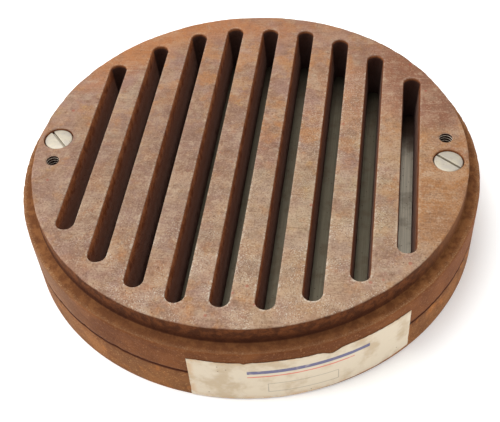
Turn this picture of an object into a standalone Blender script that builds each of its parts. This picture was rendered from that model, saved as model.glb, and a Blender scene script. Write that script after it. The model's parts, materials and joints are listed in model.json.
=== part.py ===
"""Channel valve of a reciprocating gas compressor, standing on its stop plate.

A ported seat disc is screwed to a stop plate. Nine U-shaped channels close the seat's ports
from below. A bowed leaf spring in each channel holds it up, and gas pushes it down by the
valve lift. Two slotted guides in the stop plate's pocket keep the channels' ends in line.

Units are metres. +Z points out of the ported face, the ports run along Y, and the origin is
the centre of the stop plate's bottom face.
"""

import math

import bmesh
import bpy
from mathutils import Matrix

MM = 0.001
GAP = 0.3 * MM

# Seat and stop plate
FACE_RADIUS = 86.3 * MM
RIM_RADIUS = 91.35 * MM
STOP_THICKNESS = 14.5 * MM
SEAT_THICKNESS = 22.1 * MM
LEDGE_DEPTH = 8.2 * MM
FACE_ROUNDING = 0.8 * MM
EDGE_CHAMFER = 0.45 * MM
RIM_SEGMENTS = 96

# Ports, from the centre one outwards
PORT_PITCH = 15.875 * MM
PORT_HALF_LENGTHS = (77.4 * MM, 77.1 * MM, 71.9 * MM, 62.0 * MM, 47.9 * MM)
PORT_TOP_WIDTH = 7.25 * MM
PORT_THROAT_WIDTH = 4.9 * MM
SEAT_RECESS_DEPTH = 1.7 * MM
SLOT_SEGMENTS = 16

# Channels and springs
CHANNEL_WIDTH = 8.8 * MM
CHANNEL_HEIGHT = 5.0 * MM
CHANNEL_WALL = 1.2 * MM
CHANNEL_LAP = 2.0 * MM
LIFT = 2.5 * MM
SPRING_WIDTH = 5.8 * MM
SPRING_THICKNESS = 0.6 * MM
SPRING_SHORTENING = 1.5 * MM
SPRING_SEGMENTS = 24

# Pocket between seat and stop plate, and the slots under it
POCKET_RADIUS = 86.0 * MM
POCKET_HALF_WIDTH = 72.4 * MM
STOP_SLOT_WIDTH = 6.2 * MM
STOP_SLOT_REACH = 72.5 * MM
SIDE_SLOT_WIDTH = 3.8 * MM
SIDE_SLOT_HALF_LENGTH = 36.0 * MM
GUIDE_INNER_RADIUS = 73.0 * MM
GUIDE_START = 40.0 * MM

# Screws, puller holes and dowels, all on one circle
FASTENER_RADIUS = 78.4 * MM
SCREW_THREAD_RADIUS = 3.175 * MM
SCREW_HEAD_RADIUS = 5.65 * MM
SCREW_HEAD_SINK = 0.6 * MM
SCREW_POINT_Z = 1.0 * MM
COUNTERBORE_RADIUS = 6.05 * MM
COUNTERBORE_DEPTH = 4.3 * MM
DRIVER_SLOT_WIDTH = 1.2 * MM
DRIVER_SLOT_DEPTH = 1.4 * MM
DRIVER_SLOT_ANGLES = {"left": math.radians(-48), "right": math.radians(-36)}
PULLER_HOLE_ANGLE = math.radians(9.2)
PULLER_HOLE_RADIUS = 2.75 * MM
PULLER_HOLE_DEPTH = 16.0 * MM
DOWEL_ANGLE = math.radians(-10)
DOWEL_RADIUS = 2.4 * MM
DOWEL_HALF_LENGTH = 6.0 * MM

# Label round the rim
LABEL_THICKNESS = 0.25 * MM
LABEL_START = math.radians(-96.4)
LABEL_END = math.radians(-43.6)
LABEL_BOTTOM = 0.6 * MM
LABEL_TOP = 24.4 * MM

# Levels worked out from the sizes above
SEAT_BOTTOM = STOP_THICKNESS + GAP
SEAT_TOP = SEAT_BOTTOM + SEAT_THICKNESS
LEDGE_Z = SEAT_TOP - LEDGE_DEPTH
VALVE_FACE_Z = SEAT_BOTTOM + SEAT_RECESS_DEPTH
CHANNEL_TOP = VALVE_FACE_Z - GAP
POCKET_FLOOR = CHANNEL_TOP - CHANNEL_HEIGHT - LIFT - GAP
CUT_MARGIN = 3.0 * MM

RUST = (0.22, 0.105, 0.055)
COLOURS = {
    "seat": (RUST, 0.75, 0.35),
    "stop": ((0.24, 0.10, 0.045), 0.75, 0.35),
    "channel": ((0.36, 0.34, 0.31), 0.35, 1.0),
    "spring": ((0.42, 0.42, 0.43), 0.30, 1.0),
    "guide": ((0.30, 0.29, 0.28), 0.45, 1.0),
    "screw": ((0.68, 0.66, 0.60), 0.40, 0.9),
    "dowel": ((0.40, 0.40, 0.41), 0.30, 1.0),
    "label": ((0.68, 0.60, 0.48), 0.85, 0.0),
}


def clear_scene():
    for obj in list(bpy.data.objects):
        bpy.data.objects.remove(obj)


def make_collection(name):
    collection = bpy.data.collections.new(name)
    bpy.context.scene.collection.children.link(collection)
    return collection


clear_scene()
PARTS = make_collection("channel_valve")
CUTTERS = make_collection("cutters")
VALVE = bpy.data.objects.new("valve_axis", None)
PARTS.objects.link(VALVE)


def make_material(name, finish):
    colour, roughness, metallic = COLOURS[finish]
    material = bpy.data.materials.new(name)
    material.use_nodes = True
    shader = material.node_tree.nodes["Principled BSDF"]
    shader.inputs["Base Color"].default_value = (*colour, 1.0)
    shader.inputs["Roughness"].default_value = roughness
    shader.inputs["Metallic"].default_value = metallic
    return material


def add_object(name, bm, location=(0, 0, 0), finish=None):
    """Turn a bmesh into a part with a finish or, without one, into a cutter."""
    mesh = bpy.data.meshes.new(name)
    bm.to_mesh(mesh)
    bm.free()
    obj = bpy.data.objects.new(name, mesh)
    obj.location = location
    if finish:
        mesh.materials.append(make_material(name, finish))
        PARTS.objects.link(obj)
        obj.parent = VALVE
    else:
        CUTTERS.objects.link(obj)
        obj.hide_render = True
        obj.display_type = "WIRE"
    return obj


def turned(name, profile, segments, location=(0, 0, 0), finish=None):
    """Turn a profile of (radius, height) points, listed down its outer side, about Z."""
    bm = bmesh.new()
    verts = [bm.verts.new((radius, 0, height)) for radius, height in profile]
    for upper, lower in zip(verts, verts[1:]):
        bm.edges.new((upper, lower))
    obj = add_object(name, bm, location, finish)
    screw = obj.modifiers.new("turn", "SCREW")
    screw.axis = "Z"
    screw.steps = segments
    screw.render_steps = segments
    screw.use_merge_vertices = True
    screw.merge_threshold = 0.00002
    return obj


def cut(obj, *cutters):
    """Subtract each cutter from the object."""
    for cutter in cutters:
        boolean = obj.modifiers.new(cutter.name, "BOOLEAN")
        boolean.operation = "DIFFERENCE"
        boolean.solver = "EXACT"
        boolean.object = cutter


def add_slot(bm, x, half_length, low_width, high_width, z_low, z_high):
    """Add a slot along Y with round ends, its width changing evenly from low to high."""
    reach = 0.5 / math.cos(math.pi / SLOT_SEGMENTS)
    verts = bmesh.ops.create_cone(
        bm, cap_ends=True, segments=SLOT_SEGMENTS, radius1=low_width * reach,
        radius2=high_width * reach, depth=z_high - z_low)["verts"]
    half_step = Matrix.Rotation(math.pi / SLOT_SEGMENTS, 3, "Z")
    bmesh.ops.rotate(bm, verts=verts, cent=(0, 0, 0), matrix=half_step)
    for side in (-1, 1):
        end = [vert for vert in verts if vert.co.y * side > 0]
        bmesh.ops.translate(bm, verts=end, vec=(0, side * (half_length - high_width / 2), 0))
    bmesh.ops.translate(bm, verts=verts, vec=(x, 0, (z_low + z_high) / 2))


def port_width(z):
    """Give a port's width at a height: it narrows evenly from the top face to the throat."""
    share = (z - VALVE_FACE_Z) / (SEAT_TOP - VALVE_FACE_Z)
    return PORT_THROAT_WIDTH + share * (PORT_TOP_WIDTH - PORT_THROAT_WIDTH)


def port_rows():
    """Give each port's number, place across the seat and half length, left to right."""
    outermost = len(PORT_HALF_LENGTHS) - 1
    for step in range(-outermost, outermost + 1):
        yield step + outermost + 1, step * PORT_PITCH, PORT_HALF_LENGTHS[abs(step)]


def channel_half_length(port_half_length):
    throat_half_length = port_half_length - (PORT_TOP_WIDTH - PORT_THROAT_WIDTH) / 2
    return throat_half_length + CHANNEL_LAP


def pocket_shape(inset, z_low, z_high):
    """Make the pocket's outline as a bmesh: a disc with a flat on its left and right."""
    bm = bmesh.new()
    bmesh.ops.create_cone(
        bm, cap_ends=True, segments=RIM_SEGMENTS, radius1=POCKET_RADIUS - inset,
        radius2=POCKET_RADIUS - inset, depth=z_high - z_low)
    bmesh.ops.translate(bm, verts=bm.verts[:], vec=(0, 0, (z_low + z_high) / 2))
    for side in (-1, 1):
        slice_off(bm, (side * (POCKET_HALF_WIDTH - inset), 0, 0), (side, 0, 0))
    return bm


def slice_off(bm, point, outward):
    """Remove what lies past a plane and close the mesh there."""
    geometry = bm.verts[:] + bm.edges[:] + bm.faces[:]
    bmesh.ops.bisect_plane(
        bm, geom=geometry, plane_co=point, plane_no=outward, clear_outer=True)
    rim = [edge for edge in bm.edges if edge.is_boundary]
    bmesh.ops.holes_fill(bm, edges=rim)


def cylinder_cutter(name, radius, z_low, z_high, location=(0, 0, 0), segments=24):
    bm = bmesh.new()
    bmesh.ops.create_cone(
        bm, cap_ends=True, segments=segments, radius1=radius, radius2=radius,
        depth=z_high - z_low)
    bmesh.ops.translate(bm, verts=bm.verts[:], vec=(0, 0, (z_low + z_high) / 2))
    return add_object(name, bm, location)


def on_fastener_circle(side, angle=0.0):
    """Give the place at an angle from the left or right end of the fastener diameter."""
    sign = 1 if side == "right" else -1
    return (sign * FASTENER_RADIUS * math.cos(angle), sign * FASTENER_RADIUS * math.sin(angle), 0)


def screw_hole_cutter(side):
    """Stepped hole: clearance for the thread and a counterbore for the head."""
    radius = SCREW_THREAD_RADIUS + GAP
    step_z = SEAT_TOP - COUNTERBORE_DEPTH
    top = SEAT_TOP + CUT_MARGIN
    profile = [(0, top), (COUNTERBORE_RADIUS, top), (COUNTERBORE_RADIUS, step_z),
               (radius, step_z), (radius, -CUT_MARGIN), (0, -CUT_MARGIN)]
    return turned(f"screw_hole_{side}", profile, 32, on_fastener_circle(side))


def make_valve_seat(screw_holes, dowel_holes):
    chamfer = EDGE_CHAMFER
    profile = [(0, SEAT_TOP), (FACE_RADIUS - FACE_ROUNDING, SEAT_TOP),
               (FACE_RADIUS, SEAT_TOP - FACE_ROUNDING), (FACE_RADIUS, LEDGE_Z + FACE_ROUNDING),
               (FACE_RADIUS + FACE_ROUNDING, LEDGE_Z), (RIM_RADIUS - chamfer, LEDGE_Z),
               (RIM_RADIUS, LEDGE_Z - chamfer), (RIM_RADIUS, SEAT_BOTTOM + chamfer),
               (RIM_RADIUS - chamfer, SEAT_BOTTOM), (0, SEAT_BOTTOM)]
    seat = turned("valve_seat", profile, RIM_SEGMENTS, finish="seat")
    low, high = SEAT_BOTTOM - CUT_MARGIN, SEAT_TOP + CUT_MARGIN
    ports = bmesh.new()
    for _, x, half_length in port_rows():
        widening = (port_width(high) - PORT_TOP_WIDTH) / 2
        add_slot(ports, x, half_length + widening, port_width(low), port_width(high), low, high)
    recess = pocket_shape(0, low, VALVE_FACE_Z)
    cut(seat, add_object("ports", ports), add_object("seat_recess", recess))
    puller_holes = [
        cylinder_cutter(f"puller_hole_{side}", PULLER_HOLE_RADIUS, SEAT_TOP - PULLER_HOLE_DEPTH,
                        high, on_fastener_circle(side, PULLER_HOLE_ANGLE))
        for side in ("left", "right")]
    cut(seat, *screw_holes, *puller_holes, *dowel_holes)


def make_stop_plate(screw_holes, dowel_holes):
    chamfer = EDGE_CHAMFER
    profile = [(0, STOP_THICKNESS), (RIM_RADIUS - chamfer, STOP_THICKNESS),
               (RIM_RADIUS, STOP_THICKNESS - chamfer), (RIM_RADIUS, chamfer),
               (RIM_RADIUS - chamfer, 0), (0, 0)]
    plate = turned("stop_plate", profile, RIM_SEGMENTS, finish="stop")
    pocket = pocket_shape(0, POCKET_FLOOR, STOP_THICKNESS + CUT_MARGIN)
    low, high = -CUT_MARGIN, POCKET_FLOOR + CUT_MARGIN
    slots = bmesh.new()
    for side in (-1, 1):
        for step in range(len(PORT_HALF_LENGTHS) - 1):
            x = side * (step + 0.5) * PORT_PITCH
            half_length = math.sqrt(STOP_SLOT_REACH**2 - (abs(x) + STOP_SLOT_WIDTH / 2)**2)
            add_slot(slots, x, half_length, STOP_SLOT_WIDTH, STOP_SLOT_WIDTH, low, high)
        x = side * (POCKET_HALF_WIDTH - GAP - SIDE_SLOT_WIDTH / 2)
        add_slot(slots, x, SIDE_SLOT_HALF_LENGTH, SIDE_SLOT_WIDTH, SIDE_SLOT_WIDTH, low, high)
    cut(plate, add_object("pocket", pocket), add_object("stop_slots", slots))
    cut(plate, *screw_holes, *dowel_holes)


def make_channel(number, x, half_length):
    """A U section open downwards: a grid folded down at both sides and thickened inwards."""
    bm = bmesh.new()
    bmesh.ops.create_grid(bm, x_segments=3, y_segments=1, size=1)
    for vert in bm.verts:
        vert.co.y *= half_length
        outer = abs(vert.co.x) > 0.5
        vert.co.x = math.copysign(CHANNEL_WIDTH / 2, vert.co.x)
        vert.co.z = -CHANNEL_HEIGHT if outer else 0
    channel = add_object(f"channel_{number}", bm, (x, 0, CHANNEL_TOP), "channel")
    wall = channel.modifiers.new("wall", "SOLIDIFY")
    wall.thickness = CHANNEL_WALL
    wall.offset = -1
    wall.use_even_offset = True


def make_spring(number, x, half_length):
    """A leaf bowed down: its ends stay up in the channel, its middle bears on the stop plate."""
    height = CHANNEL_TOP - CHANNEL_WALL - GAP - (POCKET_FLOOR + GAP)
    rise = height - SPRING_THICKNESS
    bm = bmesh.new()
    bmesh.ops.create_grid(bm, x_segments=1, y_segments=SPRING_SEGMENTS, size=1)
    for vert in bm.verts:
        vert.co.z = SPRING_THICKNESS / 2 + rise * vert.co.y**2
        vert.co.x *= SPRING_WIDTH / 2
        vert.co.y *= half_length
    spring = add_object(f"spring_{number}", bm, (x, 0, POCKET_FLOOR + GAP), "spring")
    leaf = spring.modifiers.new("leaf", "SOLIDIFY")
    leaf.thickness = SPRING_THICKNESS
    leaf.offset = 0


def make_guide(name, angle):
    """A crescent in the pocket's end, notched for the channel ends."""
    low, high = POCKET_FLOOR + GAP, VALVE_FACE_Z - GAP
    bm = pocket_shape(GAP, low, high)
    slice_off(bm, (0, -GUIDE_START, 0), (0, 1, 0))
    guide = add_object(name, bm, finish="guide")
    guide.rotation_euler.z = angle
    cut_low, cut_high = low - CUT_MARGIN, high + CUT_MARGIN
    bore = cylinder_cutter(f"{name}_bore", GUIDE_INNER_RADIUS, cut_low, cut_high, segments=96)
    notches = bmesh.new()
    for _, x, half_length in port_rows():
        end = channel_half_length(half_length) + GAP
        verts = bmesh.ops.create_cube(notches, size=1)["verts"]
        bmesh.ops.scale(notches, vec=(CHANNEL_WIDTH + 2 * GAP, end, cut_high - cut_low), verts=verts)
        bmesh.ops.translate(notches, vec=(x, -end / 2, (cut_low + cut_high) / 2), verts=verts)
    notch_cutter = add_object(f"{name}_notches", notches)
    notch_cutter.rotation_euler.z = angle
    cut(guide, bore, notch_cutter)


def make_screw(side):
    """A slotted cylinder-head machine screw, its head a little below the seat's face."""
    top = SEAT_TOP - SCREW_HEAD_SINK
    under_head = SEAT_TOP - COUNTERBORE_DEPTH + GAP
    chamfer = EDGE_CHAMFER
    profile = [(0, top), (SCREW_HEAD_RADIUS - chamfer, top), (SCREW_HEAD_RADIUS, top - chamfer),
               (SCREW_HEAD_RADIUS, under_head), (SCREW_THREAD_RADIUS, under_head),
               (SCREW_THREAD_RADIUS, SCREW_POINT_Z + chamfer),
               (SCREW_THREAD_RADIUS - chamfer, SCREW_POINT_Z), (0, SCREW_POINT_Z)]
    place = on_fastener_circle(side)
    screw = turned(f"screw_{side}", profile, 32, place, "screw")
    bm = bmesh.new()
    bmesh.ops.create_cube(bm, size=1)
    size = (4 * SCREW_HEAD_RADIUS, DRIVER_SLOT_WIDTH, 2 * DRIVER_SLOT_DEPTH)
    bmesh.ops.scale(bm, vec=size, verts=bm.verts[:])
    slot = add_object(f"driver_slot_{side}", bm, (place[0], place[1], top))
    slot.rotation_euler.z = DRIVER_SLOT_ANGLES[side]
    cut(screw, slot)


def dowel_hole_cutter(side):
    half_length = DOWEL_HALF_LENGTH + GAP
    middle = SEAT_BOTTOM - GAP / 2
    place = on_fastener_circle(side, DOWEL_ANGLE)
    return cylinder_cutter(
        f"dowel_hole_{side}", DOWEL_RADIUS + GAP, middle - half_length, middle + half_length, place)


def make_dowel(side):
    """A straight pin, half in the stop plate and half in the seat."""
    middle = SEAT_BOTTOM - GAP / 2
    half_length = DOWEL_HALF_LENGTH
    chamfer = EDGE_CHAMFER
    profile = [(0, half_length), (DOWEL_RADIUS - chamfer, half_length),
               (DOWEL_RADIUS, half_length - chamfer), (DOWEL_RADIUS, chamfer - half_length),
               (DOWEL_RADIUS - chamfer, -half_length), (0, -half_length)]
    x, y, _ = on_fastener_circle(side, DOWEL_ANGLE)
    turned(f"dowel_{side}", profile, 24, (x, y, middle), "dowel")


def make_label():
    """A paper strip laid round the rim: an upright edge spun about the valve's axis."""
    radius = RIM_RADIUS + GAP + LABEL_THICKNESS / 2
    bm = bmesh.new()
    low = bm.verts.new((radius, 0, LABEL_BOTTOM))
    high = bm.verts.new((radius, 0, LABEL_TOP))
    bm.edges.new((low, high))
    start = Matrix.Rotation(LABEL_START, 3, "Z")
    bmesh.ops.rotate(bm, verts=[low, high], cent=(0, 0, 0), matrix=start)
    bmesh.ops.spin(
        bm, geom=bm.verts[:] + bm.edges[:], cent=(0, 0, 0), axis=(0, 0, 1),
        angle=LABEL_END - LABEL_START, steps=24)
    label = add_object("parts_label", bm, finish="label")
    paper = label.modifiers.new("paper", "SOLIDIFY")
    paper.thickness = LABEL_THICKNESS
    paper.offset = 0


def make_valve():
    sides = ("left", "right")
    screw_holes = [screw_hole_cutter(side) for side in sides]
    dowel_holes = [dowel_hole_cutter(side) for side in sides]
    make_valve_seat(screw_holes, dowel_holes)
    make_stop_plate(screw_holes, dowel_holes)
    for number, x, port_half_length in port_rows():
        half_length = channel_half_length(port_half_length)
        make_channel(number, x, half_length)
        make_spring(number, x, half_length - SPRING_SHORTENING)
    make_guide("guide_front", 0)
    make_guide("guide_rear", math.pi)
    for side in sides:
        make_screw(side)
        make_dowel(side)
    make_label()


make_valve()
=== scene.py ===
import json
import math

import bmesh
import bpy
from bpy.props import FloatProperty, FloatVectorProperty, IntProperty, PointerProperty
from mathutils import Matrix, Vector, noise


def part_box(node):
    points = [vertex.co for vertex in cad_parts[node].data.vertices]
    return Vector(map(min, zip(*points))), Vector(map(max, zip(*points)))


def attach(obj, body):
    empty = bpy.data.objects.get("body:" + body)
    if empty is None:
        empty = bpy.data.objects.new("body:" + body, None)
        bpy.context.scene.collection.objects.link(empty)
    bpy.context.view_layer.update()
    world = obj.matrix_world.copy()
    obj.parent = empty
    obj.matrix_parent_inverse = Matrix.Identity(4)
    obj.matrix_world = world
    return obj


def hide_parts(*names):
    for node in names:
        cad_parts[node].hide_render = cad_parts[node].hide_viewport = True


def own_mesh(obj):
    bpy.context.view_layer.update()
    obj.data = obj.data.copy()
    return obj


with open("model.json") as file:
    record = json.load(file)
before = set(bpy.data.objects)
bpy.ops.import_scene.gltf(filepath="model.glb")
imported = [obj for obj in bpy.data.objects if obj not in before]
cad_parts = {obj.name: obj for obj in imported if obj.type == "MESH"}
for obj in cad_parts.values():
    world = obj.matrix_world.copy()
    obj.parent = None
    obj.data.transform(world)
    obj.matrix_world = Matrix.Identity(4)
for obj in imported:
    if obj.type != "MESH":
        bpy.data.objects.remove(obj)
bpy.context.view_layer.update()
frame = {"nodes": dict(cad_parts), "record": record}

bl_info = {
    "name": "Channel Valve",
    "version": (1, 0, 0),
    "blender": (4, 5, 0),
    "location": "View3D > Sidebar > Valve",
    "description": "Builds a rusted channel valve of a gas compressor around its packed solids",
    "category": "Object",
}

MM = 0.001
BODY = "valve_body"
NUMBERS = range(1, 10)
MIDDLE = 5                        # the channel on the middle line
GAP = 0.3 * MM                    # play between neighbouring pieces
SHARP_ANGLE = math.radians(38)    # steeper edges are shaded sharp
STAGE_LIGHT = 1.5                 # how much the stage's light lifts a surface's colour

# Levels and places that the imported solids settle
SEAT_LOW, SEAT_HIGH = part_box("valve_seat")
STOP_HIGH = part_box("stop_plate")[1]
RIM_RADIUS = SEAT_HIGH.x
SEAT_TOP = SEAT_HIGH.z
SEAT_BOTTOM = SEAT_LOW.z
STOP_TOP = STOP_HIGH.z
LEDGE_Z = {mount["name"]: mount for mount in frame["record"]["mounts"]}["gasket_ledge"]["pos_m"][2]
CHANNEL_BOXES = {number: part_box(f"channel_{number}") for number in NUMBERS}
SPRING_BOXES = {number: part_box(f"spring_{number}") for number in NUMBERS}
DOWEL_LOW, DOWEL_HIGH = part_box("dowel_left")
PITCH = CHANNEL_BOXES[2][0].x - CHANNEL_BOXES[1][0].x
POCKET_FLOOR = SPRING_BOXES[1][0].z - GAP

# The same levels in the millimetres that finishes count in
TOP_MM, LEDGE_MM, RIM_MM = SEAT_TOP / MM, LEDGE_Z / MM, RIM_RADIUS / MM


def srgb(red, green, blue):
    """Give a display colour of 0 to 255 as the linear colour that shaders use."""
    def linear(level):
        share = level / 255
        return share / 12.92 if share <= 0.04045 else ((share + 0.055) / 1.055) ** 2.4
    return (linear(red), linear(green), linear(blue), 1.0)


def lit(red, green, blue):
    """Give the surface colour that looks like this display colour under the stage's light."""
    return (*[level / STAGE_LIGHT for level in srgb(red, green, blue)[:3]], 1.0)


# ---------------------------------------- settings

def length(name, description, millimetres):
    return FloatProperty(
        name=name, description=description, default=millimetres * MM, unit="LENGTH", precision=5)


def angle(name, description, degrees):
    return FloatProperty(
        name=name, description=description, default=math.radians(degrees), subtype="ANGLE")


def amount(name, description, default, highest):
    return FloatProperty(name=name, description=description, default=default, min=0, max=highest)


def colour(name, description, red, green, blue):
    return FloatVectorProperty(
        name=name, description=description, default=srgb(red, green, blue), subtype="COLOR",
        size=4, min=0, max=1)


class SeatSettings(bpy.types.PropertyGroup):
    face_radius: length("Face radius", "Radius of the raised face", 86.3)
    face_rounding: length("Face rounding", "Rounding of the face's rim", 0.8)
    ledge_fillet: length("Ledge fillet", "Rounding from face to ledge", 0.7)
    rim_rounding: length("Rim rounding", "Rounding of the rims' corners", 0.45)
    port_width: length("Port width", "Width of a port in the top face", 7.25)
    throat_width: length("Throat width", "Width of a port at the channel", 4.9)
    channel_lap: length("Channel lap", "Reach of a channel past its port", 2.0)
    port_rounding: length("Port rounding", "Rounding of the ports' worn rims", 0.42)
    recess_depth: length("Recess depth", "Depth of the recess under the seat", 1.7)
    pocket_radius: length("Pocket radius", "Radius of the channels' pocket", 86.0)
    pocket_half_width: length("Pocket half width", "Reach of the pocket to each side", 72.4)
    nick_depth: length("Nick depth", "Deepest nick in an outer edge", 0.35)
    tan: colour("Tan", "Main colour of the worn rust", 142, 112, 89)
    pale: colour("Pale", "Bright specks and worn rims", 190, 177, 160)


class StopPlateSettings(bpy.types.PropertyGroup):
    slot_width: length("Slot width", "Width of an inner slot", 6.2)
    slot_reach: length("Slot reach", "Radius that the slots' corners reach", 72.5)
    side_slot_width: length("Side slot width", "Width of the two outer slots", 3.8)
    side_slot_half_length: length("Side slot half length", "Half the outer slots' length", 36)
    slot_rounding: length("Slot rounding", "Rounding of the slots' mouths below", 0.3)
    rust: colour("Rust", "Main colour of the rim", 121, 79, 45)


class ChannelSettings(bpy.types.PropertyGroup):
    wall: length("Wall", "Thickness of the strip", 1.2)
    bend: length("Bend", "Outer radius of the bends", 1.3)
    steel: colour("Steel", "Dulled stainless strip", 124, 117, 99)
    # Painted reflection: a lighter copy of the dulled steel for the ninth strip, which mirrors bright
    # light
    bright_reflection_steel: colour("Clean steel", "Strip that kept its shine", 206, 197, 178)


class SpringSettings(bpy.types.PropertyGroup):
    thickness: length("Thickness", "Thickness of a leaf spring", 0.6)
    steel: colour("Steel", "Spring strip", 176, 176, 178)


class GuideSettings(bpy.types.PropertyGroup):
    softening: length("Softening", "Rounding of the guides' edges", 0.2)
    steel: colour("Steel", "Guides and dowels", 146, 140, 132)


class FastenerSettings(bpy.types.PropertyGroup):
    circle: length("Circle", "Radius that the screws stand on", 78.4)
    counterbore_radius: length("Counterbore radius", "Radius of the screw heads' holes", 6.05)
    counterbore_depth: length("Counterbore depth", "Depth of the screw heads' holes", 4.3)
    thread_radius: length("Thread radius", "Outer radius of the thread", 3.175)
    thread_pitch: length("Thread pitch", "Height of one turn of thread", 1.27)
    head_rounding: length("Head rounding", "Rounding of the screw head", 0.55)
    slot_width: length("Slot width", "Width of the driver slot", 0.95)
    slot_depth: length("Slot depth", "Depth of the driver slot", 1.35)
    left_slot: angle("Left slot", "Direction of the left screw's slot", -48)
    right_slot: angle("Right slot", "Direction of the right screw's slot", -36)
    puller_angle: angle("Puller angle", "How far round the puller holes sit", 9.2)
    puller_radius: length("Puller radius", "Inner radius of the puller holes", 2.6)
    puller_depth: length("Puller depth", "Depth of the puller holes", 16)
    dowel_angle: angle("Dowel angle", "How far round the dowels sit", -10)
    dowel_radius: length("Dowel radius", "Radius of the dowels", 2.4)
    zinc: colour("Zinc", "Dull plating of the screws", 178, 170, 157)


class LabelSettings(bpy.types.PropertyGroup):
    start: angle("Start", "Where it begins round the rim", -96.4)
    end: angle("End", "Where it ends round the rim", -43.6)
    thickness: length("Thickness", "Thickness of the paper", 0.14)
    paper: colour("Paper", "Aged paper", 207, 193, 171)
    stain: colour("Stain", "Stains in the paper", 172, 148, 116)
    blue_ink: colour("Blue ink", "Printed band", 74, 78, 124)
    red_ink: colour("Red ink", "Printed rule", 205, 96, 82)
    grey_ink: colour("Grey ink", "Printed frame", 138, 128, 118)


class StageSettings(bpy.types.PropertyGroup):
    azimuth: angle("Azimuth", "Camera's place round the valve", 11.190)
    elevation: angle("Elevation", "Camera's height above the horizon", 48.151)
    roll: angle("Roll", "Camera's turn about its own axis", -4.678)
    distance: length("Distance", "From the camera to the seat's face", 366.95)
    aim_right: length("Aim right", "Shift of the camera to its right", 0.7)
    aim_down: length("Aim down", "Shift of the camera downwards", 24.83)
    lens: amount("Lens", "Focal length for a 36 mm sensor", 66.43, 200)
    sky: amount("Sky", "Strength of the even studio light", 0.62, 3)
    softbox: amount("Softbox", "Power of the upper softbox in watts", 14.0, 100)
    floor: colour("Floor", "Colour of the floor", 250, 250, 249)
    floor_glow: amount("Floor glow", "Light that softens the shadows", 0.13, 1)


class ValveSettings(bpy.types.PropertyGroup):
    seat: PointerProperty(type=SeatSettings)
    stop_plate: PointerProperty(type=StopPlateSettings)
    channels: PointerProperty(type=ChannelSettings)
    springs: PointerProperty(type=SpringSettings)
    guides: PointerProperty(type=GuideSettings)
    fasteners: PointerProperty(type=FastenerSettings)
    label: PointerProperty(type=LabelSettings)
    stage: PointerProperty(type=StageSettings)
    rim_steps: IntProperty(
        name="Rim steps", description="Flats round the rim", default=384, min=96, max=720)


# ---------------------------------------- modelling

def arc(centre, radius, start, end, steps=5):
    """Give points along an arc about (across, up), its angles in degrees."""
    points = []
    for step in range(steps + 1):
        turn = math.radians(start + (end - start) * step / steps)
        points.append((centre[0] + radius * math.cos(turn), centre[1] + radius * math.sin(turn)))
    return points


def mirrored(right):
    """Close the right half of an outline with its mirror image."""
    return right + [(-x, z) for x, z in reversed(right)]


def rim_profile(top, bottom, corner, rows=6):
    """Profile down the outer rim, with rounded corners and rows between them."""
    inner = RIM_RADIUS - corner
    height = top - bottom - 2 * corner
    return [
        *arc((inner, top - corner), corner, 90, 0, 3),
        *[(RIM_RADIUS, top - corner - height * row / rows) for row in range(1, rows)],
        *arc((inner, bottom + corner), corner, 0, -90, 3)]


def face_outwards(bm):
    bmesh.ops.recalc_face_normals(bm, faces=bm.faces[:])


def close_ends(bm):
    """Cap every open rim, then turn all faces outwards."""
    rims = [edge for edge in bm.edges if edge.is_boundary]
    bmesh.ops.holes_fill(bm, edges=rims, sides=0)
    face_outwards(bm)


def revolve(bm, profile, steps, centre=(0, 0)):
    """Spin a profile of (radius, height) points about an upright axis and cap its ends."""
    old = set(bm.verts)
    verts = [bm.verts.new((radius, 0, height)) for radius, height in profile]
    edges = [bm.edges.new(pair) for pair in zip(verts, verts[1:])]
    bmesh.ops.spin(
        bm, geom=verts + edges, cent=(0, 0, 0), axis=(0, 0, 1), angle=math.tau, steps=steps,
        use_merge=True)
    close_ends(bm)
    new = [vert for vert in bm.verts if vert not in old]
    bmesh.ops.translate(bm, verts=new, vec=(*centre, 0))


def prism(bm, outline, y_low, y_high):
    """Stretch a closed outline of (x, z) points along Y."""
    verts = [bm.verts.new((x, y_low, z)) for x, z in outline]
    edges = [bm.edges.new(pair) for pair in zip(verts, verts[1:] + verts[:1])]
    made = bmesh.ops.extrude_edge_only(bm, edges=edges)["geom"]
    moved = [item for item in made if isinstance(item, bmesh.types.BMVert)]
    bmesh.ops.translate(bm, verts=moved, vec=(0, y_high - y_low, 0))
    close_ends(bm)


def mouth(half_width, face_z, outward, rounding):
    """Levels of a slot cutter through a rounded mouth, from outside the face inwards.

    Each level gives the half width and height there for a wear of -1 to 1.
    """
    def level(turn, lift):
        def place(wear):
            local = rounding * (1 + 0.55 * wear)
            across = half_width + local * (1 - math.cos(math.radians(turn)))
            return across, face_z + outward * (lift - local * (1 - math.sin(math.radians(turn))))
        return place
    return [level(86, MM)] + [level(turn, 0) for turn in (84, 62, 40, 20, 0)]


def straight_level(half_width, height):
    """Level of a slot cutter that wear doesn't change."""
    return lambda wear: (half_width, height)


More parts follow.
